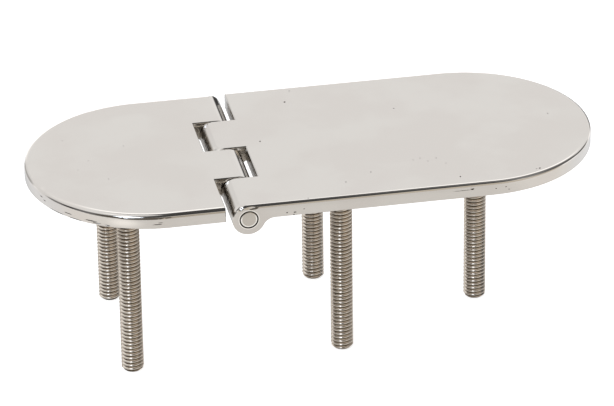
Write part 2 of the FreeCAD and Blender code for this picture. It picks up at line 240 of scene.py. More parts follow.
@dataclass(frozen=True)
class PolishedCasting:
    """Cast 316 stainless steel, buffed to a mirror that still waves a little.

    The eye sees a pale warm grey with soft cloudy patches, crisp dark lines at the rounded edges, and a few
    casting pits and scratches that the buffing has opened. The wheel doesn't reach into the slots between the
    knuckles or under the leaves, so the casting stays dull, dark and lumpy there, the dark partly its own
    dull tone and partly painted shade. Round the pin a painted shadow lies in the gap, with a painted
    highlight on the bore's edge outside it.
    """

    name: str
    flaws: tuple[Flaw, ...]
    dents: tuple[Flaw, ...]
    slot_reach_mm: float
    line: HingeLine = HingeLine()

    # Colours and how dull each part is
    colour: str = "#d8d4cf"
    cloud_colour: str = "#d5d0cb"
    # Partly the unbuffed casting's own dull tone, partly painted shade in the slots and under the leaves
    raw_and_shaded_colour: str = "#9a938a"
    # Dark colour of the pits and scratches, also used for the painted shadow ring in the gap round the pin
    stain_and_gap_shadow_colour: str = "#362e26"
    # A painted highlight on the edge of the bore round the pin
    bore_highlight_colour: str = "#fffcf7"
    roughness: float = 0.09
    raw_roughness: float = 0.26
    flaw_roughness: float = 0.5

    # Sizes of the patterns and how deep they go, the grain coarser than the real one so that it shows
    cloud_mm: float = 26.0
    wave_mm: float = 30.0
    wave_depth_mm: float = 0.10
    lump_mm: float = 2.0
    lump_depth_mm: float = 0.34
    dent_depth_mm: float = 0.5
    grain_mm: float = 0.5
    grain_depth_mm: float = 0.0006
    ragged_mm: float = 0.35
    ragged_share: float = 1.1
    flaw_depth_mm: float = 0.05
    crown_per_mm: float = 0.018
    crown_middle_mm: float = 2.2

    # Unbuffed places: out from a slot, down from the top, in from the leaf's side, up from its underside
    slot_out: Span = Span(0.8, 0.2)
    slot_down: Span = Span(-1.1, -1.7)
    slot_in: Span = Span(0.0, -9.0)
    under_up: Span = Span(0.15, 0.02)
    under_in: Span = Span(-0.1, -0.5)
    under_share: float = 0.5

    # Waves down from the top, clouds by their noise, pits and dents by their reach, and out from the pin the
    # painted shadow ring and the painted highlight round it
    wave_down: Span = Span(-0.02, -0.5)
    cloud_edge: Span = Span(0.38, 0.62)
    pit_edge: Span = Span(1.2, 0.7)
    dent_edge: Span = Span(0.0, 1.0)
    ring_out: Span = Span(0.22, 0.08)
    bore_highlight_inner: Span = Span(0.20, 0.28)
    bore_highlight_outer: Span = Span(0.56, 0.34)

    # The distance, in sizes of a spot, that stands for having no spot
    far_off: float = 9.0

    def unbuffed(self, tree: bpy.types.NodeTree, place: Wire) -> Wire:
        """Mark where the wheel doesn't reach: inside the slots and under the leaves, where the colour also
        paints shade.

        Args:
            tree: The node tree that gets the nodes.
            place: The Object coordinates.

        Returns:
            The share of unbuffed casting.
        """
        line = self.line
        x, y, z = put(tree, Kind.SEPARATE, Vector=place).outputs
        off_axis = put(tree, Kind.MATH, SUBTRACT, in0=x, in1=line.axis_x_mm * MM)
        across = put(tree, Kind.MATH, ABSOLUTE, in0=off_axis)
        near = put(tree, Kind.RANGE, EASED, Value=across, **self.slot_out.ends(self.slot_reach_mm))
        below = put(tree, Kind.RANGE, EASED, Value=z, **self.slot_down.ends(line.top_mm))
        under = put(tree, Kind.RANGE, EASED, Value=z, **self.under_up.ends())
        side = put(tree, Kind.MATH, ABSOLUTE, in0=y)
        inward = put(tree, Kind.RANGE, EASED, Value=side, **self.slot_in.ends(line.half_width_mm))
        edge = put(tree, Kind.RANGE, EASED, Value=side, **self.under_in.ends(line.half_width_mm))
        walls = put(tree, Kind.MATH, MULTIPLY, in0=near, in1=below)
        in_slot = put(tree, Kind.MATH, MULTIPLY, in0=walls, in1=inward)
        beneath = put(tree, Kind.MATH, MULTIPLY, in0=under, in1=edge)
        less_beneath = put(tree, Kind.MATH, MULTIPLY, in0=beneath, in1=self.under_share)
        return put(tree, Kind.MATH, GREATER, in0=in_slot, in1=less_beneath)

    def nearest(self, tree: bpy.types.NodeTree, place: Wire, spots: tuple[Flaw, ...]) -> Wire | float:
        """Measure how far a point is from the nearest spot, where one is the spot's edge.

        Args:
            tree: The node tree that gets the nodes.
            place: The Object coordinates.
            spots: The spots.

        Returns:
            The distance, or a large number if there are no spots.
        """
        nearest = self.far_off
        for spot in spots:
            local = put(tree, Kind.MAPPING, {"vector_type": "TEXTURE"}, Vector=place,
                        Location=Vector(spot.place_mm) * MM, Rotation=(0, 0, math.radians(spot.turn)),
                        Scale=Vector(spot.reach_mm) * MM)
            away = put(tree, Kind.VECTOR, LENGTH, Vector=local)
            nearest = put(tree, Kind.MATH, LESSER, in0=away, in1=nearest)
        return nearest

    def flaws_and_gap_shadow(self, tree: bpy.types.NodeTree, place: Wire, away: Wire) -> Wire:
        """Mark the pits and scratches, and paint a shadow ring in the gap round the pin.

        Args:
            tree: The node tree that gets the nodes.
            place: The Object coordinates.
            away: The distance from the hinge's axis.

        Returns:
            The share of pits, scratches and the painted shadow ring.
        """
        nearest = self.nearest(tree, place, self.flaws)
        ragged = put(tree, Kind.NOISE, Vector=place, Scale=1 / (self.ragged_mm * MM), Detail=2.0)
        even = put(tree, Kind.MATH, SUBTRACT, in0=nearest, in1=self.ragged_share / 2)
        uneven = put(tree, Kind.MATH, MULTIPLY_ADD, in0=ragged, in1=self.ragged_share, in2=even)
        pits = put(tree, Kind.RANGE, EASED, Value=uneven, **self.pit_edge.ends(unit=1.0))
        # A painted shadow ring just outside the pin, in the gap between pin and knuckle
        ring = put(tree, Kind.RANGE, EASED, Value=away, **self.ring_out.ends(self.line.pin_mm))
        return put(tree, Kind.MATH, GREATER, in0=pits, in1=ring)

    def shape(self, tree: bpy.types.NodeTree, place: Wire, raw: Wire, flaws_and_gap_shadow: Wire) -> Wire:
        """Bend the surface: a slight crown, waves on the edges, lumps where unbuffed, grain, sunk flaws.

        Args:
            tree: The node tree that gets the nodes.
            place: The Object coordinates.
            raw: The share of unbuffed casting.
            flaws_and_gap_shadow: The share of pits and scratches, and of the painted shadow ring round the
                pin.

        Returns:
            The normal.
        """
        height = put(tree, Kind.SEPARATE, Vector=place).outputs["Z"]
        rim = put(tree, Kind.CLAMP, Value=height, Min=0.0, Max=self.line.top_mm * MM)
        off = put(tree, Kind.MATH, SUBTRACT, in0=rim, in1=self.crown_middle_mm * MM)
        square = put(tree, Kind.MATH, MULTIPLY, in0=off, in1=off)
        crown = put(tree, Kind.MATH, MULTIPLY, in0=square, in1=-self.crown_per_mm / MM)
        normal = put(tree, Kind.BUMP, Height=crown, Distance=1.0)
        wave = put(tree, Kind.NOISE, Vector=place, Scale=1 / (self.wave_mm * MM), Detail=1.0)
        rounded = put(tree, Kind.RANGE, EASED, Value=height, **self.wave_down.ends(self.line.top_mm))
        waved = put(tree, Kind.MATH, MULTIPLY, in0=wave, in1=rounded)
        lump = put(tree, Kind.NOISE, Vector=place, Scale=1 / (self.lump_mm * MM), Detail=3.0)
        lumpy = put(tree, Kind.MATH, MULTIPLY, in0=lump, in1=raw)
        grain = put(tree, Kind.NOISE, Vector=place, Scale=1 / (self.grain_mm * MM), Detail=1.0)
        sunk = put(tree, Kind.MATH, MULTIPLY, in0=flaws_and_gap_shadow, in1=-1.0)
        dent = self.nearest(tree, place, self.dents)
        dented = put(tree, Kind.RANGE, EASED, Value=dent, **self.dent_edge.ends(unit=1.0))
        for level, depth_mm in ((waved, self.wave_depth_mm), (lumpy, self.lump_depth_mm),
                                (dented, self.dent_depth_mm), (grain, self.grain_depth_mm),
                                (sunk, self.flaw_depth_mm)):
            normal = put(tree, Kind.BUMP, Height=level, Distance=depth_mm * MM, Normal=normal)
        return normal

    def build(self) -> bpy.types.Material:
        """Make the node material.

        Returns:
            The material.
        """
        material, tree = new_material(self.name)
        place = put(tree, Kind.COORDINATES).outputs["Object"]
        raw = self.unbuffed(tree, place)
        away = self.line.away(tree, place)
        flaws_and_gap_shadow = self.flaws_and_gap_shadow(tree, place, away)
        cloud = put(tree, Kind.NOISE, Vector=place, Scale=1 / (self.cloud_mm * MM), Detail=3.0)
        cloudy = put(tree, Kind.RANGE, EASED, Value=cloud, **self.cloud_edge.ends(unit=1.0))
        # A painted highlight on the bore's edge, just outside the painted shadow ring round the pin
        inner = put(tree, Kind.RANGE, EASED, Value=away, **self.bore_highlight_inner.ends(self.line.pin_mm))
        outer = put(tree, Kind.RANGE, EASED, Value=away, **self.bore_highlight_outer.ends(self.line.pin_mm))
        bore_highlight = put(tree, Kind.MATH, MULTIPLY, in0=inner, in1=outer)
        clouded = put(tree, Kind.MIX, COLOURS, in0=cloudy, in6=linear(self.colour),
                      in7=linear(self.cloud_colour))
        buffed = put(tree, Kind.MIX, COLOURS, in0=bore_highlight, in6=clouded, in7=linear(self.bore_highlight_colour))
        # The darker colour where unbuffed: partly the casting's own tone, partly painted shade in the slots
        # and under the leaves
        colour = put(tree, Kind.MIX, COLOURS, in0=raw, in6=buffed, in7=linear(self.raw_and_shaded_colour))
        # Pits and scratches, and the painted shadow ring round the pin, in the dark colour
        stained = put(tree, Kind.MIX, COLOURS, in0=flaws_and_gap_shadow, in6=colour, in7=linear(self.stain_and_gap_shadow_colour))
        dull = put(tree, Kind.MIX, in0=raw, in2=self.roughness, in3=self.raw_roughness)
        rough = put(tree, Kind.MIX, in0=flaws_and_gap_shadow, in2=dull, in3=self.flaw_roughness)
        shader = put(tree, Kind.PRINCIPLED, Base_Color=stained, Metallic=1.0, Roughness=rough,
                     Normal=self.shape(tree, place, raw, flaws_and_gap_shadow))
        put(tree, Kind.OUTPUT, Surface=shader)
        return material


@dataclass(frozen=True)
class GroundPin:
    """Ground 316 stainless bar, cut off square: a flat end, a painted highlight on its edge and a painted
    shadow rim.

    The eye sees a grey satin disc, a thin painted highlight round its lower half, where the edge is rolled
    over, and a painted shadow ring outside that, in the gap round the pin. The grain is drawn coarser than
    real grinding marks, so that it shows.
    """

    name: str = "ground_316_bar"
    line: HingeLine = HingeLine()
    colour: str = "#cbc5bd"
    pin_gap_shadow_colour: str = "#171411"
    pin_highlight_colour: str = "#fffcf7"
    roughness: float = 0.20
    pin_gap_shadow_roughness: float = 0.5
    grain_mm: float = 0.4
    grain_depth_mm: float = 0.002

    # Rings out from the pin's radius for the painted shadow and the painted highlight, and the height below
    # which the highlight is painted
    pin_gap_shadow_out: Span = Span(-0.38, -0.24)
    pin_highlight_out: Span = Span(-0.86, -0.64)
    lower_half: Span = Span(2.4, 0.4)

    def build(self) -> bpy.types.Material:
        """Make the node material.

        Returns:
            The material.
        """
        material, tree = new_material(self.name)
        place = put(tree, Kind.COORDINATES).outputs["Object"]
        away = self.line.away(tree, place)
        # Painted shadow ring on the pin's rounded edge, in the gap round the pin
        rim = put(tree, Kind.RANGE, EASED, Value=away, **self.pin_gap_shadow_out.ends(self.line.pin_mm))
        height = put(tree, Kind.SEPARATE, Vector=place).outputs["Z"]
        lower = put(tree, Kind.RANGE, EASED, Value=height, **self.lower_half.ends())
        # Painted highlight on the rounded edge, on its lower half only
        rolled = put(tree, Kind.RANGE, EASED, Value=away, **self.pin_highlight_out.ends(self.line.pin_mm))
        edge = put(tree, Kind.MATH, MULTIPLY, in0=rolled, in1=lower)
        face = put(tree, Kind.MIX, COLOURS, in0=edge, in6=linear(self.colour), in7=linear(self.pin_highlight_colour))
        colour = put(tree, Kind.MIX, COLOURS, in0=rim, in6=face, in7=linear(self.pin_gap_shadow_colour))
        rough = put(tree, Kind.MIX, in0=rim, in2=self.roughness, in3=self.pin_gap_shadow_roughness)
        grain = put(tree, Kind.NOISE, Vector=place, Scale=1 / (self.grain_mm * MM), Detail=2.0)
        bump = put(tree, Kind.BUMP, Height=grain, Distance=self.grain_depth_mm * MM)
        shader = put(tree, Kind.PRINCIPLED, Base_Color=colour, Metallic=1.0, Roughness=rough, Normal=bump)
        put(tree, Kind.OUTPUT, Surface=shader)
        return material


@dataclass(frozen=True)
class RolledThread:
    """Stainless threaded rod as it comes from the rolling dies.

    The eye sees bright crests and roots darkened brown, partly by grime and partly as painted shade, darkest
    close under the leaf. The grain is drawn coarser than a die leaves it, so that it shows.
    """

    name: str = "rolled_316_thread"
    depth_attribute: str = "thread_depth"
    colour: str = "#e2d9ce"
    # Colour of the darkened roots: partly grime, partly painted shade
    root_grime_and_shade_colour: str = "#5f5445"
    edge_tint: str = "#a0968a"
    roughness: float = 0.16
    root_roughness: float = 0.30
    grime_mm: float = 2.2
    grime_share: float = 0.7
    grain_mm: float = 0.6
    grain_depth_mm: float = 0.02

    # How much less grime and painted shade lie further down the stud, and the heights over which they thin
    # out
    less_grime_and_shade: float = 0.35
    under_leaf: Span = Span(-10.0, -1.0)

    # How thick the grime and painted shade begin to tint the steel, and how thick they hide it
    grime_and_shade_edge: Span = Span(0.45, 1.0)

    def build(self) -> bpy.types.Material:
        """Make the node material.

        Returns:
            The material.
        """
        material, tree = new_material(self.name)
        place = put(tree, Kind.COORDINATES).outputs["Object"]
        depth = put(tree, Kind.ATTRIBUTE, {"attribute_name": self.depth_attribute}).outputs["Fac"]
        grime = put(tree, Kind.NOISE, Vector=place, Scale=1 / (self.grime_mm * MM), Detail=3.0)
        height = put(tree, Kind.SEPARATE, Vector=place).outputs["Z"]
        # More darkening close under the leaf: partly grime, partly painted shade where the leaf shades the
        # stud
        top = put(tree, Kind.RANGE, EASED, Value=height, **self.under_leaf.ends())
        upper = put(tree, Kind.MATH, MULTIPLY_ADD, in0=top, in1=self.less_grime_and_shade, in2=-self.less_grime_and_shade)
        base = put(tree, Kind.MATH, ADD, in0=depth, in1=upper)
        laid = put(tree, Kind.MATH, MULTIPLY_ADD, in0=grime, in1=self.grime_share, in2=base)
        share = put(tree, Kind.RANGE, EASED, Value=laid, **self.grime_and_shade_edge.ends(unit=1.0))
        colour = put(tree, Kind.MIX, COLOURS, in0=share, in6=linear(self.colour),
                     in7=linear(self.root_grime_and_shade_colour))
        rough = put(tree, Kind.MIX, in0=share, in2=self.roughness, in3=self.root_roughness)
        grain = put(tree, Kind.NOISE, Vector=place, Scale=1 / (self.grain_mm * MM), Detail=2.0)
        bump = put(tree, Kind.BUMP, Height=grain, Distance=self.grain_depth_mm * MM)
        shader = put(tree, Kind.PRINCIPLED, Base_Color=colour, Metallic=1.0, Roughness=rough,
                     Specular_Tint=linear(self.edge_tint), Normal=bump)
        put(tree, Kind.OUTPUT, Surface=shader)
        return material


@dataclass(frozen=True)
class MattTable:
    """Matt white painted board.

    The lens sees it plain white with the hinge's soft shadow. The polished steel sees painted light and shade
    on
    it: a painted shadow that keeps it grey under the hinge, painted light brighter out in the open, a little
    warm in front and cool behind, and one painted glint in front on the left.
    """

    name: str = "matt_white_table"
    paint_colour: str = "#e7e7e7"
    # A greyer copy of the paint, seen only in the steel: painted shade
    shaded_mirrored_colour: str = "#999999"
    warm_colour: str = "#fffcf7"
    cool_colour: str = "#fcfdff"
    seen_glow: float = 0.75

    # How bright the steel sees the painted glow: at the middle, less far in front, more aside, and the share
    # left in the painted shadow beneath
    glow: float = 0.65
    far_less: float = 0.30
    aside_more: float = 0.12
    painted_shade_share: float = 0.65
    glint_more: float = 0.35

    # Where these begin and end
    far: Span = Span(-160.0, -420.0)
    front: Span = Span(20.0, -60.0)
    wide: Span = Span(120.0, 200.0)
    middle_mm: tuple[float, float, float] = (-20.0, -170.0, 0.0)
    aside: Span = Span(100.0, 210.0)
    glint_mm: tuple[float, float, float] = (-149.0, -148.0, 0.0)
    glint: Span = Span(55.0, 5.0)

    def mirrored_glow(self, tree: bpy.types.NodeTree, place: Wire) -> Wire:
        """Lay out the painted light and shadow that the polished steel sees on the board.

        Args:
            tree: The node tree that gets the nodes.
            place: The Object coordinates.

        Returns:
            The glow.
        """
        across, depth, _ = put(tree, Kind.SEPARATE, Vector=place).outputs
        far = put(tree, Kind.RANGE, EASED, Value=depth, **self.far.ends())
        spot = put(tree, Kind.VECTOR, DISTANCE, in0=place, in1=Vector(self.glint_mm) * MM)
        glint = put(tree, Kind.RANGE, EASED, Value=spot, **self.glint.ends())
        middle = put(tree, Kind.VECTOR, DISTANCE, in0=place, in1=Vector(self.middle_mm) * MM)
        aside = put(tree, Kind.RANGE, EASED, Value=middle, **self.aside.ends())
        near = put(tree, Kind.MATH, MULTIPLY_ADD, in0=far, in1=-self.far_less, in2=self.glow)
        level = put(tree, Kind.MATH, MULTIPLY_ADD, in0=aside, in1=self.aside_more, in2=near)
        front = put(tree, Kind.RANGE, EASED, Value=depth, **self.front.ends())
        sideways = put(tree, Kind.MATH, ABSOLUTE, in0=across)
        wide = put(tree, Kind.RANGE, EASED, Value=sideways, **self.wide.ends())
        # Painted shadow: the glow drops to a share beneath and behind the hinge, away from the open
        open_side = put(tree, Kind.MATH, GREATER, in0=front, in1=wide)
        share = put(tree, Kind.MATH, MULTIPLY_ADD, in0=open_side, in1=1 - self.painted_shade_share,
                    in2=self.painted_shade_share)
        lit = put(tree, Kind.MATH, MULTIPLY, in0=level, in1=share)
        # Painted glint in front on the left
        bright = put(tree, Kind.MATH, MULTIPLY_ADD, in0=glint, in1=self.glint_more, in2=lit)
        tint = put(tree, Kind.MIX, COLOURS, in0=front, in6=linear(self.cool_colour),
                   in7=linear(self.warm_colour))
        return put(tree, Kind.EMISSION, Color=tint, Strength=bright)

    def build(self) -> bpy.types.Material:
        """Make the node material.

        Returns:
            The material.
        """
        material, tree = new_material(self.name)
        place = put(tree, Kind.COORDINATES).outputs["Object"]
        glow = self.mirrored_glow(tree, place)
        dim = put(tree, Kind.DIFFUSE, Color=linear(self.shaded_mirrored_colour))
        mirrored = put(tree, Kind.ADD_SHADER, in0=dim, in1=glow)
        paint = put(tree, Kind.DIFFUSE, Color=linear(self.paint_colour))
        white = put(tree, Kind.EMISSION, Color=grey(1.0), Strength=self.seen_glow)
        seen = put(tree, Kind.ADD_SHADER, in0=paint, in1=white)
        rays = put(tree, Kind.LIGHT_PATH).outputs
        other = put(tree, Kind.MIX_SHADER, Fac=rays["Is Glossy Ray"], in1=paint, in2=mirrored)
        mix = put(tree, Kind.MIX_SHADER, Fac=rays["Is Camera Ray"], in1=other, in2=seen)
        put(tree, Kind.OUTPUT, Surface=mix)
        return material


def activate(obj: bpy.types.Object) -> None:
    """Select one object alone and make it active.

    Args:
        obj: The object.
    """
    bpy.ops.object.select_all(action="DESELECT")
    obj.select_set(True)
    bpy.context.view_layer.objects.active = obj


def apply_modifier(obj: bpy.types.Object, name: str) -> None:
    """Apply the named modifier of an object."""
    activate(obj)
    bpy.ops.object.modifier_apply(modifier=name)


def edit(obj: bpy.types.Object) -> None:
    """Go into edit mode on one object with nothing selected.

    Args:
        obj: The object.
    """
    activate(obj)
    bpy.ops.object.mode_set(mode="EDIT")
    bpy.ops.mesh.select_all(action="DESELECT")


@dataclass
class ThreadedStud:
    """A stud with a rolled thread: helical ridge, chamfered tip and plain spigot."""

    major_mm: float = 3.97
    root_mm: float = 3.12
    pitch_mm: float = 1.411
    crest_share: float = 0.42
    root_share: float = 0.24
    crest_bulge: float = 0.6
    root_bulge: float = 0.5
    round_points: int = 4
    chamfer_mm: float = 1.0
    spigot_mm: float = 3.2
    cone_mm: float = 0.77
    steps: int = 40
    smooth_angle: float = 32.0

    # The bar is a hair wider than the thread and the ridge runs past its ends, so that they cut cleanly
    spare_mm: float = 0.02
    past_mm: float = 0.2
    spare_turns: int = 2
    merge_m: float = 1e-6

    # A face counts as a flat end from this upright share of its normal on
    flat_normal: float = 0.99

    def profile(self) -> list[tuple[float, float]]:
        """One turn of the thread in section.

        Returns:
            Radius and height of each point, in millimetres, from the middle of a root to the next.
        """
        crest = self.crest_share * self.pitch_mm / 2
        root = self.root_share * self.pitch_mm / 2
        upward = []
        for step in range(self.round_points + 1):
            turn = step / self.round_points
            rise = self.root_bulge * root * (1 - math.cos(turn * math.pi / 2))
            upward.append((self.root_mm + rise, root * turn))
        for step in range(self.round_points + 1):
            turn = 1 - step / self.round_points
            drop = self.crest_bulge * crest * (1 - math.cos(turn * math.pi / 2))
            upward.append((self.major_mm - drop, self.pitch_mm / 2 - crest * turn))
        downward = [(radius, self.pitch_mm - height) for radius, height in reversed(upward[:-1])]
        return upward + downward

    def section(self) -> bpy.types.Object:
        """Draw one turn of the thread as a line.

        Returns:
            The line, beside the Z axis.
        """
        points = self.profile()
        bpy.ops.object.select_all(action="DESELECT")
        bpy.ops.mesh.primitive_plane_add(size=self.pitch_mm * MM)
        line = bpy.context.object
        edit(line)
        bpy.ops.mesh.select_all(action="SELECT")
        bpy.ops.mesh.delete(type="ONLY_FACE")
        bpy.ops.object.mode_set(mode="OBJECT")
        for vertex in line.data.vertices:
            vertex.select = vertex.index > 1
        for side in line.data.edges:
            side.select = False
        bpy.ops.object.mode_set(mode="EDIT")
        bpy.ops.mesh.delete(type="VERT")
        bpy.ops.mesh.select_all(action="SELECT")
        bpy.ops.mesh.subdivide(number_cuts=len(points) - 2)
        bpy.ops.object.mode_set(mode="OBJECT")
        for vertex, (radius, height) in zip(sorted(line.data.vertices, key=lambda v: v.co.x), points):
            vertex.co = Vector((radius, 0, height)) * MM
        return line

    def ridge(self, low_mm: float, high_mm: float) -> bpy.types.Object:
        """Sweep the thread's section up a helix and close both ends.

        Args:
            low_mm: Height of the lower end.
            high_mm: Height of the upper end.

        Returns:
            A closed threaded rod on the Z axis.
        """
        rod = self.section()
        screw = rod.modifiers.new("helix", "SCREW")
        screw.axis = "Z"
        screw.angle = math.tau
        screw.screw_offset = self.pitch_mm * MM
        screw.iterations = math.ceil((high_mm - low_mm) / self.pitch_mm) + self.spare_turns
        screw.steps = screw.render_steps = self.steps
        screw.use_merge_vertices = True
        screw.merge_threshold = self.merge_m
        apply_modifier(rod, "helix")
        for vertex in rod.data.vertices:
            vertex.co.z += (low_mm - self.pitch_mm) * MM
        edit(rod)
        bpy.ops.mesh.select_all(action="SELECT")
        bpy.ops.mesh.remove_doubles(threshold=self.merge_m)
        bpy.ops.mesh.normals_make_consistent(inside=False)
        for height, upper in ((low_mm, False), (high_mm, True)):
            bpy.ops.mesh.select_all(action="SELECT")
            bpy.ops.mesh.bisect(plane_co=(0, 0, height * MM), plane_no=(0, 0, 1), use_fill=True,
                                clear_outer=upper, clear_inner=not upper)
        bpy.ops.mesh.select_all(action="SELECT")
        bpy.ops.mesh.normals_make_consistent(inside=False)
        bpy.ops.object.mode_set(mode="OBJECT")
        return rod

    def blank(self, low_mm: float, high_mm: float) -> bpy.types.Object:
        """Turn the bar that the thread is cut on.

        Args:
            low_mm: Height of the tip.
            high_mm: Height of the spigot's end.

        Returns:
            A closed bar with a chamfered tip, a cone at the mounting face and a plain spigot.
        """
        wide = self.major_mm + self.spare_mm
        shank = -low_mm - self.chamfer_mm
        bpy.ops.object.select_all(action="DESELECT")
        bpy.ops.mesh.primitive_cylinder_add(vertices=self.steps * 2, radius=wide * MM, depth=shank * MM,
                                            location=(0, 0, -shank / 2 * MM))
        bar = bpy.context.object
        bpy.ops.object.transform_apply(location=True, rotation=True, scale=True)
        self.grow(bar, False, self.chamfer_mm, (self.major_mm - self.chamfer_mm) / wide)
        self.grow(bar, True, self.cone_mm, self.spigot_mm / wide)
        self.grow(bar, True, high_mm - self.cone_mm, 1.0)
        return bar

    def grow(self, bar: bpy.types.Object, upper: bool, height_mm: float, share: float) -> None:
        """Extrude a bar's flat end along the axis and scale it.

        Args:
            bar: The bar to lengthen.
            upper: True for the top end, False for the tip.
            height_mm: How far the end moves out.
            share: Its new radius as a share of the old one.
        """
        edit(bar)
        bpy.ops.object.mode_set(mode="OBJECT")
        flats = [face for face in bar.data.polygons if abs(face.normal.z) > self.flat_normal]
        flats.sort(key=lambda face: face.center.z)
        flats[-1 if upper else 0].select = True
        bpy.ops.object.mode_set(mode="EDIT")
        bpy.ops.mesh.select_mode(type="FACE")
        step = height_mm * MM * (1 if upper else -1)
        bpy.ops.mesh.extrude_region_move(TRANSFORM_OT_translate={"value": (0, 0, step)})
        bpy.ops.transform.resize(value=(share, share, 1))
        bpy.ops.object.mode_set(mode="OBJECT")

    def build(self, low_mm: float, high_mm: float, depth_attribute: str) -> bpy.types.Object:
        """Cut the thread on the bar and note how deep in the thread each point lies.

        Args:
            low_mm: Height of the tip.
            high_mm: Height of the spigot's end.
            depth_attribute: Name of the attribute that is none on the crests and one in the roots.

        Returns:
            One closed stud on the Z axis.
        """
        stud = self.ridge(low_mm - self.past_mm, high_mm + self.past_mm)
        bar = self.blank(low_mm, high_mm)
        meet = stud.modifiers.new("bar", "BOOLEAN")
        meet.operation = "INTERSECT"
        meet.solver = "EXACT"
        meet.object = bar
        apply_modifier(stud, "bar")
        bpy.data.objects.remove(bar)
        activate(stud)
        bpy.ops.object.shade_smooth_by_angle(angle=math.radians(self.smooth_angle))
        depth = stud.data.attributes.new(depth_attribute, "FLOAT", "POINT")
        for vertex, item in zip(stud.data.vertices, depth.data):
            radius = math.hypot(vertex.co.x, vertex.co.y) / MM
            item.value = min(max((self.major_mm - radius) / (self.major_mm - self.root_mm), 0.0), 1.0)
        return stud


@dataclass
class Studs:
    """The five studs, one model copied to each node's place and turned a little further each time."""

    model: ThreadedStud = field(default_factory=ThreadedStud)
    finish: RolledThread = field(default_factory=RolledThread)
    turn_rad: float = 1.3
    places: dict[str, Body] = field(default_factory=lambda: {
        "stud_short_front": Body.SHORT,
        "stud_short_back": Body.SHORT,
        "stud_long_front": Body.LONG,
        "stud_long_back": Body.LONG,
        "stud_long_end": Body.LONG,
    })

    def build(self) -> list[bpy.types.Object]:
        """Model one stud, copy it to each place and let the copies stand for the plain ones.

        Returns:
            The five studs.
        """
        pieces = []
        low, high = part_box("stud_long_end")
        first = self.model.build(low.z / MM, high.z / MM, self.finish.depth_attribute)
        first.data.materials.clear()
        first.data.materials.append(self.finish.build())
        for count, (node, body) in enumerate(self.places.items()):
            low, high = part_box(node)
            piece = first.copy()
            piece.data = first.data.copy()
            piece.name = piece.data.name = f"threaded_{node}"
            bpy.context.scene.collection.objects.link(piece)
            middle = (low + high) / 2
            turned = Matrix.Rotation(count * self.turn_rad, 4, "Z")
            piece.data.transform(Matrix.Translation((middle.x, middle.y, 0)) @ turned)
            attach(piece, body.value)
            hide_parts(node)
            pieces.append(piece)
        bpy.data.objects.remove(first)
        return pieces


@dataclass
class HingePin:
    """The hinge pin, cut off flush with the outer knuckles, the edges of its ends rolled over a little."""

    round_mm: float = 0.55
    round_steps: int = 5
    sides: int = 96
    smooth_angle: float = 30.0
    flat_mm: float = 0.1
    finish: GroundPin = field(default_factory=GroundPin)

    def build(self) -> list[bpy.types.Object]:
        """Turn the pin between the plain pin's ends, round its edges and let it stand for that one.

        Returns:
            The pin.
        """
        low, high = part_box("hinge_pin")
        bpy.ops.object.select_all(action="DESELECT")
        bpy.ops.mesh.primitive_cylinder_add(vertices=self.sides, radius=(high.z - low.z) / 2,
                                            depth=high.y - low.y, location=(low + high) / 2,
                                            rotation=(math.pi / 2, 0, 0))
        pin = bpy.context.object
        pin.name = pin.data.name = "rounded_hinge_pin"
        bpy.ops.object.transform_apply(location=True, rotation=True, scale=True)
        edit(pin)
        bpy.ops.mesh.select_mode(type="EDGE")
        bpy.ops.object.mode_set(mode="OBJECT")
        places = [vertex.co.y for vertex in pin.data.vertices]
        for line in pin.data.edges:
            first, second = line.vertices
            line.select = abs(places[first] - places[second]) < self.flat_mm * MM
        bpy.ops.object.mode_set(mode="EDIT")
        bpy.ops.mesh.bevel(offset=self.round_mm * MM, segments=self.round_steps, affect="EDGES")
        bpy.ops.object.mode_set(mode="OBJECT")
        bpy.ops.object.shade_smooth_by_angle(angle=math.radians(self.smooth_angle))
        pin.data.materials.clear()
        pin.data.materials.append(self.finish.build())
        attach(pin, Body.LONG.value)
        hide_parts("hinge_pin")
        return [pin]


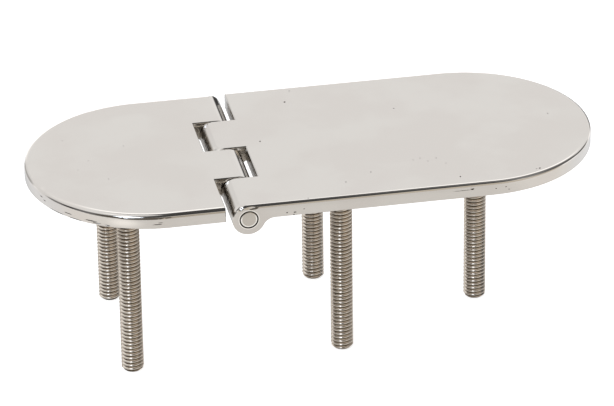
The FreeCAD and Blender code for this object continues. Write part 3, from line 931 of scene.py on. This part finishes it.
@dataclass
class Castings:
    """The two leaves, dressed as they come from the frame.

    Their flaws are given by place: first those on top, then those on the front edge or round the end.
    """

    short_slot_mm: float = 8.0
    long_slot_mm: float = 7.2
    long_flaws: tuple[Flaw, ...] = (
        Flaw((-8.5, 32.5, 5.3), (0.4, 0.5, 0.3)),
        Flaw((-5.2, 41.0, 5.3)),
        Flaw((-22.9, 3.5, 5.3), (0.3, 0.45, 0.3)),
        Flaw((28.8, 19.0, 5.3), (0.2, 0.3, 0.2)),
        Flaw((81.7, 3.2, 5.3), (0.2, 0.25, 0.2)),
        Flaw((40.1, -38.3, 5.3), (0.25, 0.45, 0.2)),
        Flaw((67.4, -38.1, 5.3), (0.2, 0.2, 0.2)),
        Flaw((68.6, -37.9, 5.3), (0.35, 0.45, 0.3)),
        Flaw((10.5, -28.2, 5.3), (0.2, 0.3, 0.2)),
        Flaw((0.5, -33.7, 5.3), (0.25, 0.3, 0.2)),
        Flaw((-14.6, -42.9, 5.3), (0.2, 0.25, 0.2)),
        Flaw((26.8, -22.3, 5.3), (0.16, 0.22, 0.2)),
        Flaw((29.5, -21.4, 5.3), (0.2, 0.2, 0.2)),
        Flaw((31.7, -24.2, 5.3), (0.18, 0.22, 0.2)),
        Flaw((35.0, -22.6, 5.3), (0.2, 0.2, 0.2)),
        Flaw((37.5, -27.1, 5.3), (0.16, 0.2, 0.2)),
        Flaw((-22.4, -44.45, 1.4), (0.26, 0.25, 0.22)),
        Flaw((-19.6, -44.45, 1.3), (0.5, 0.25, 0.2)),
        Flaw((-20.0, -44.45, 0.4), (0.28, 0.25, 0.2)),
        Flaw((-16.4, -44.45, 2.2), (0.2, 0.25, 0.16)),
        Flaw((43.0, -44.45, 3.2), (0.65, 0.3, 0.26)),
        Flaw((39.6, -44.45, 3.0), (3.2, 0.3, 0.07)),
        Flaw((51.4, -44.45, 2.5), (0.2, 0.2, 0.17)),
        Flaw((55.0, -44.2, 2.7), (0.28, 0.25, 0.18)),
        Flaw((56.1, -44.1, 1.6), (0.2, 0.25, 0.17)),
    )
    short_flaws: tuple[Flaw, ...] = (
        Flaw((-70.7, 10.3, 5.3), (0.15, 0.2, 0.2)),
        Flaw((-84.5, 1.6, 5.3), (0.16, 0.18, 0.2)),
        Flaw((-79.6, -13.8, 5.3), (0.16, 0.2, 0.2)),
        Flaw((-89.1, -4.7, 5.3), (0.15, 0.18, 0.2)),
        Flaw((-91.3, 18.9, 5.3), (0.15, 0.2, 0.2)),
        Flaw((-103.7, -17.0, 2.8), (0.8, 0.5, 0.16), -67.5),
        Flaw((-103.0, -19.0, 2.1), (0.7, 0.5, 0.15), -65.0),
        Flaw((-99.6, -24.8, 0.35), (4.0, 0.6, 0.14), -56.0),
        Flaw((-94.2, -31.3, 0.35), (2.6, 0.6, 0.13), -45.0),
        Flaw((-96.2, -29.1, 1.6), (1.6, 0.5, 0.14), -49.0),
        Flaw((-89.2, -35.6, 1.3), (2.2, 0.6, 0.17), -36.7),
        Flaw((-87.4, -36.9, 0.8), (1.6, 0.5, 0.14), -34.0),
        Flaw((-84.0, -39.0, 0.6), (0.9, 0.5, 0.15), -28.7),
        Flaw((-67.5, -44.2, 1.7), (1.6, 0.4, 0.13), -6.2),
        Flaw((-66.4, -44.3, 2.3), (0.7, 0.4, 0.12), -5.0),
    )
    long_dents: tuple[Flaw, ...] = (
        Flaw((-40.6, 2.2, 5.0), (3.0, 3.2, 3.0)),
        Flaw((-39.8, -43.0, 5.0), (2.4, 1.9, 2.4)),
        Flaw((-38.9, -44.5, 4.8), (1.5, 0.9, 1.2)),
        Flaw((-34.6, -44.7, 4.5), (2.6, 0.8, 0.9)),
    )

    def dress(self, nodes: dict[str, bpy.types.Object]) -> list[bpy.types.Object]:
        """Give each leaf its finish.

        Args:
            nodes: The frame's nodes by name.

        Returns:
            The two leaves.
        """
        short = PolishedCasting("buffed_316_short_casting", self.short_flaws, (), self.short_slot_mm)
        long = PolishedCasting("buffed_316_long_casting", self.long_flaws, self.long_dents, self.long_slot_mm)
        pieces = []
        for name, finish in (("short_leaf", short), ("long_leaf", long)):
            nodes[name].data.materials.clear()
            nodes[name].data.materials.append(finish.build())
            pieces.append(nodes[name])
        return pieces


@dataclass(frozen=True)
class Patch:
    """One soft patch of the light tent, in degrees as the hinge sees it, and how bright it is.

    The azimuth is none straight ahead of the front edge and grows to the right. The patch is whole out to
    full degrees from its middle and gone at edge degrees.
    """

    azimuth: float
    elevation: float
    full: float
    edge: float
    level: float
    tint: str = PLAIN

    def light(self) -> Colour:
        """The patch's brightness in its tint, as a linear colour."""
        red, green, blue, _ = linear(self.tint)
        return self.level * red, self.level * green, self.level * blue, 1.0

    def ends(self) -> dict[str, float]:
        """The cosines of its edge and of its whole part, as the inputs of a node that gives the share."""
        return {"From_Min": math.cos(math.radians(self.edge)), "From_Max": math.cos(math.radians(self.full))}


@dataclass(frozen=True)
class LightTent:
    """A tent of white cloth, brightest at the horizon, with dim and bright patches that the steel mirrors."""

    name: str = "light_tent"

    # Share of the way up from straight below to straight above, and how bright the cloth is there
    cloth: tuple[tuple[float, float], ...] = (
        (0.0, 0.60),
        (0.45, 1.10),
        (0.50, 1.70),
        (0.54, 1.60),
        (0.62, 1.10),
        (0.70, 1.00),
        (0.80, 1.00),
        (0.90, 1.15),
    )

    # Each patch lies over those before it: bright cloth at the left and behind, dimmer cloth in front, the
    # dark room in front on the left, overhead and on the right, a small window, the strong lamp, and what
    # stands low behind the hinge
    patches: tuple[Patch, ...] = (
        Patch(-105, 16, 18, 37, 0.95),
        Patch(160, 50, 12, 20, 1.60),
        Patch(15, -3, 26, 42, 0.70, WARM),
        Patch(60, -2, 14, 24, 0.74, WARM),
        Patch(-95, 7, 12, 20, 0.28),
        Patch(-74, 12, 16, 22, 0.06),
        Patch(-55, 12, 22, 28, 0.22),
        Patch(-35, 14, 20, 28, 0.13, WARM),
        Patch(-17, 10, 23, 27, 0.14, WARM),
        Patch(10, 75, 38, 46, 0.07),
        Patch(-95, 66, 24, 31, 1.00),
        Patch(68, 34, 18, 26, 0.32),
        Patch(97, 54, 23, 28, 0.28),
        Patch(92, 28, 17, 26, 0.14),
        Patch(112, 15, 12, 21, 0.15),
        Patch(-62, 64, 4, 9, 1.60),
        Patch(-31, 36, 7, 13, 5.60, COOL),
        Patch(150, 1, 8, 17, 0.06),
        Patch(-148, 3, 10, 20, 0.55),
        Patch(-160, 21, 4, 12, 0.92),
    )

    def build(self) -> None:
        """Hang the tent round the scene, plain white to the camera itself."""
        world = bpy.data.worlds.new(self.name)
        bpy.context.scene.world = world
        world.use_nodes = True
        tree = world.node_tree
        tree.nodes.clear()
        direction = put(tree, Kind.COORDINATES).outputs["Generated"]
        height = put(tree, Kind.SEPARATE, Vector=direction).outputs["Z"]
        lit = put(tree, Kind.RAMP, Fac=put(tree, Kind.RANGE, Value=height, From_Min=-1.0, From_Max=1.0))
        stops = lit.color_ramp.elements
        while len(stops) < len(self.cloth):
            stops.new(0.5)
        for stop, (position, level) in zip(stops, self.cloth):
            stop.position = position
            stop.color = grey(level)
        for patch in self.patches:
            middle = outward(patch.azimuth, patch.elevation)
            facing = put(tree, Kind.VECTOR, {"operation": "DOT_PRODUCT"}, in0=direction, in1=middle)
            share = put(tree, Kind.RANGE, EASED, Value=facing, **patch.ends())
            lit = put(tree, Kind.MIX, COLOURS, in0=share, in6=lit, in7=patch.light())
        rays = put(tree, Kind.LIGHT_PATH).outputs
        tent = put(tree, Kind.BACKGROUND, Color=lit, Strength=1.0)
        white = put(tree, Kind.BACKGROUND, Color=grey(1.0), Strength=1.0)
        mix = put(tree, Kind.MIX_SHADER, Fac=rays["Is Camera Ray"], in1=tent, in2=white)
        put(tree, Kind.WORLD_OUTPUT, Surface=mix)


@dataclass(frozen=True)
class Viewpoint:
    """Where the photograph was taken from, and with how long a lens."""

    focal_px: float = 4131.0
    image_px: float = 614.0
    sensor_mm: float = 36.0
    azimuth: float = -10.73
    elevation: float = 27.60
    roll: float = -0.774
    distance_mm: float = 1418.0
    aim_mm: tuple[float, float, float] = (-15.73, -46.25, 5.3)
    clip_m: float = 20.0

    def build(self) -> None:
        """Set the camera at the viewpoint."""
        data = bpy.data.cameras.new("camera")
        data.sensor_width = self.sensor_mm
        data.lens = self.focal_px / self.image_px * self.sensor_mm
        data.clip_end = self.clip_m
        roll = math.radians(self.roll)
        back = outward(self.azimuth, self.elevation)
        right = (-back).cross(Vector((0, 0, 1))).normalized()
        up = right.cross(-back)
        turned_right = math.cos(roll) * right + math.sin(roll) * up
        turned_up = math.cos(roll) * up - math.sin(roll) * right
        eye = (Vector(self.aim_mm) + back * self.distance_mm) * MM
        turned = Matrix((turned_right, turned_up, back)).transposed()
        camera = bpy.data.objects.new("camera", data)
        camera.matrix_world = Matrix.Translation(eye) @ turned.to_4x4()
        bpy.context.scene.collection.objects.link(camera)
        bpy.context.scene.camera = camera


@dataclass
class Studio:
    """Light tent, table and viewpoint."""

    tent: LightTent = field(default_factory=LightTent)
    viewpoint: Viewpoint = field(default_factory=Viewpoint)
    table_finish: MattTable = field(default_factory=MattTable)
    table_z_mm: float = -63.5
    table_radius_mm: float = 420.0
    table_sides: int = 96

    def table(self) -> None:
        """Set a pale round table top under the studs, which keeps the hinge's shadow."""
        bpy.ops.object.select_all(action="DESELECT")
        bpy.ops.mesh.primitive_circle_add(vertices=self.table_sides, radius=self.table_radius_mm * MM,
                                          fill_type="NGON", location=(0, 0, self.table_z_mm * MM))
        floor = bpy.context.object
        floor.name = "floor"
        floor.data.materials.append(self.table_finish.build())

    def build(self) -> None:
        """Set up the whole studio."""
        bpy.context.scene.view_settings.view_transform = "Standard"
        self.tent.build()
        self.table()
        self.viewpoint.build()


def main() -> None:
    """Dress the frame, add what it lacks, set up the studio and report each piece."""
    logging.basicConfig(level=logging.INFO, format="%(name)s: %(message)s")
    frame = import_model()
    pieces = Castings().dress(frame["nodes"]) + HingePin().build() + Studs().build()
    Studio().build()
    for piece in pieces:
        LOG.info("%s: %d faces, %s", piece.name, len(piece.data.polygons), piece.data.materials[0].name)


if __name__ == "__main__":
    main()
